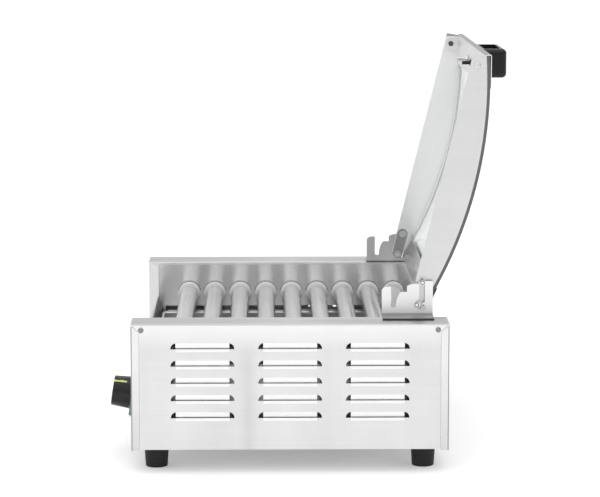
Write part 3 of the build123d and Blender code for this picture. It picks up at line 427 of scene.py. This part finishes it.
element_steel = metal("heated_sheath", 0.16, 0.5, 0.04)
screw_steel = metal("plated_steel", 0.4, 0.3)
pin_steel = metal("polished_pin", 0.72, 0.2, shade=pin_shade)
# painted shade darkens the near handle bolt
bolt_steel = metal("handle_bolt", 0.5, 0.12, shade=shaded_end(1.0, 0.03))
dark_screw_steel = metal("cover_screw", 0.26, 0.2)
# painted shade darkens the far rail screw
rail_screw_steel = metal("rail_screw", 0.66, 0.2, shade=shaded_end(-1.0, 0.12))
casting = metal("motor_casting", 0.36, 0.5)
bush_plastic = plastic("bush_plastic", (0.74, 0.74, 0.73), 0.4, tone_shift=0.08, shade=bush_shade)
black_plastic = plastic("black_plastic", (0.012, 0.012, 0.013), 0.42)
handle_plastic = plastic("handle_plastic", (0.006, 0.006, 0.0065), 0.24, grain_depth=0.00001, sheen=0.26)
knob_plastic = plastic("knob_plastic", (0.005, 0.005, 0.0055), 0.2, grain_depth=0.00001, sheen=0.35)
foot_rubber = plastic("foot_rubber", (0.012, 0.012, 0.012), 0.6, sheen=0.3)
marker_paint = plastic("marker_paint", (0.62, 0.72, 0.2), 0.3, tone_shift=0.1)
rocker_green = plastic("rocker_green", (0.01, 0.3, 0.09), 0.2, grain_depth=0.000005, tone_shift=0.12)
terminal_plastic = plastic("terminal_plastic", (0.7, 0.68, 0.6), 0.45, tone_shift=0.1)
case_plastic = plastic("thermostat_case", (0.6, 0.55, 0.43), 0.5, tone_shift=0.12)
glass = lid_glass()
cover_clear = clear_cover()

looks = {
    "base_pan": pan_steel, "element_holders": pan_steel, "tray_rails": pan_steel,
    "left_end_frame": lit_inner_steel, "right_end_frame": shaded_inner_steel,
    "left_side_cover": sheet_steel, "right_side_cover": sheet_steel,
    "front_panel": panel_steel, "rear_panel": panel_steel, "drip_tray": tray_steel,
    "left_hinge_bracket": bracket_steel, "right_hinge_bracket": bracket_steel, "hinge_links": link_steel,
    "left_lid_side": lid_steel, "right_lid_side": lid_steel,
    "front_rail": rail_steel, "rear_rail": rear_rail_steel,
    "rubber_feet": foot_rubber, "roller_bushes": bush_plastic,
    "foot_screws": screw_steel, "cover_screws": dark_screw_steel,
    "handle_bolts": bolt_steel, "rail_screws": rail_screw_steel, "hinge_pins": pin_steel,
    "knob_spindle": screw_steel, "motor_shaft": screw_steel,
    "motor_sprocket": drive_steel, "drive_chain": drive_steel, "gear_motor": casting,
    "heating_elements": element_steel, "thermostat": case_plastic, "terminal_block": terminal_plastic,
    "thermostat_knob": knob_plastic, "knob_marker": marker_paint,
    "switch_housing": black_plastic, "rocker": rocker_green, "switch_cover": cover_clear,
    "cable_gland": black_plastic, "lid_handle": handle_plastic, "lid_glass": glass,
}
for name, piece in nodes.items():
    # what isn't listed is a roller or its sprocket
    unlisted = drive_steel if name.startswith("roller_sprocket") else roller_steel
    piece.data.materials.clear()
    piece.data.materials.append(looks.get(name, unlisted))

# ---- floor: pale, with a little light of its own so that it melts into the background ----
floor_size = 80.0
bpy.ops.mesh.primitive_plane_add(size=floor_size, location=(0, 0, low.z))
floor = bpy.context.object
floor.name = "floor"
floor_shader = Shader("pale_floor")
floor_shader.set(Base_Color=(0.84, 0.84, 0.84, 1.0), Roughness=0.8)
floor_shader.set(Emission_Color=(1.0, 1.0, 1.0, 1.0), Emission_Strength=0.25)
floor.data.materials.append(floor_shader.material)
floor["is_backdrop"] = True


# ---- light ----
def softbox(name, place, target, size, power):
    """A large soft light that faces a target."""
    data = bpy.data.lights.new(name, "AREA")
    data.shape = "RECTANGLE"
    data.size, data.size_y = size
    data.energy = power
    lamp = bpy.data.objects.new(name, data)
    lamp.location = place
    lamp.rotation_euler = (Vector(target) - Vector(place)).to_track_quat("-Z", "Y").to_euler()
    bpy.context.collection.objects.link(lamp)


softbox("overhead", place=(0.3, 0.0, 2.6), target=(0, 0, 0), size=(2.6, 2.6), power=12)
softbox("near_side", place=(2.6, -1.6, 1.7), target=(0, 0, 0.2), size=(1.6, 1.6), power=12)

# a bright ceiling over duller walls: the strength rises with the height of the direction
wall_strength = 0.7
ceiling_strength = 1.12
wall_top = 0.2
ceiling_start = 0.6
world = bpy.data.worlds.new("studio")
world.use_nodes = True
tree = world.node_tree
direction = tree.nodes.new("ShaderNodeTexCoord")
split = tree.nodes.new("ShaderNodeSeparateXYZ")
fade = tree.nodes.new("ShaderNodeMapRange")
background = tree.nodes["Background"]
tree.links.new(direction.outputs["Generated"], split.inputs[0])
tree.links.new(split.outputs["Z"], fade.inputs["Value"])
tree.links.new(fade.outputs["Result"], background.inputs["Strength"])
fade.inputs["From Min"].default_value = wall_top
fade.inputs["From Max"].default_value = ceiling_start
fade.inputs["To Min"].default_value = wall_strength
fade.inputs["To Max"].default_value = ceiling_strength
background.inputs["Color"].default_value = (1, 1, 1, 1)
bpy.context.scene.world = world
bpy.context.scene.view_settings.view_transform = "Standard"

# ---- camera, level with the near end of the grill and a little above it ----
cover_low, cover_high = (Vector(corner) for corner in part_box("right_side_cover"))
near_corner = Vector((cover_high.x, cover_low.y, 0))
camera_data = bpy.data.cameras.new("camera")
camera_data.sensor_width = 36.0
camera_data.lens = 152.2
camera = bpy.data.objects.new("camera", camera_data)
camera.location = near_corner + Vector((3.1278, 0.1641, 0.7332))
aim = near_corner + Vector((0, 0.2123, 0.286))
camera.rotation_euler = (aim - camera.location).to_track_quat("-Z", "Y").to_euler()
bpy.context.collection.objects.link(camera)
bpy.context.scene.camera = camera
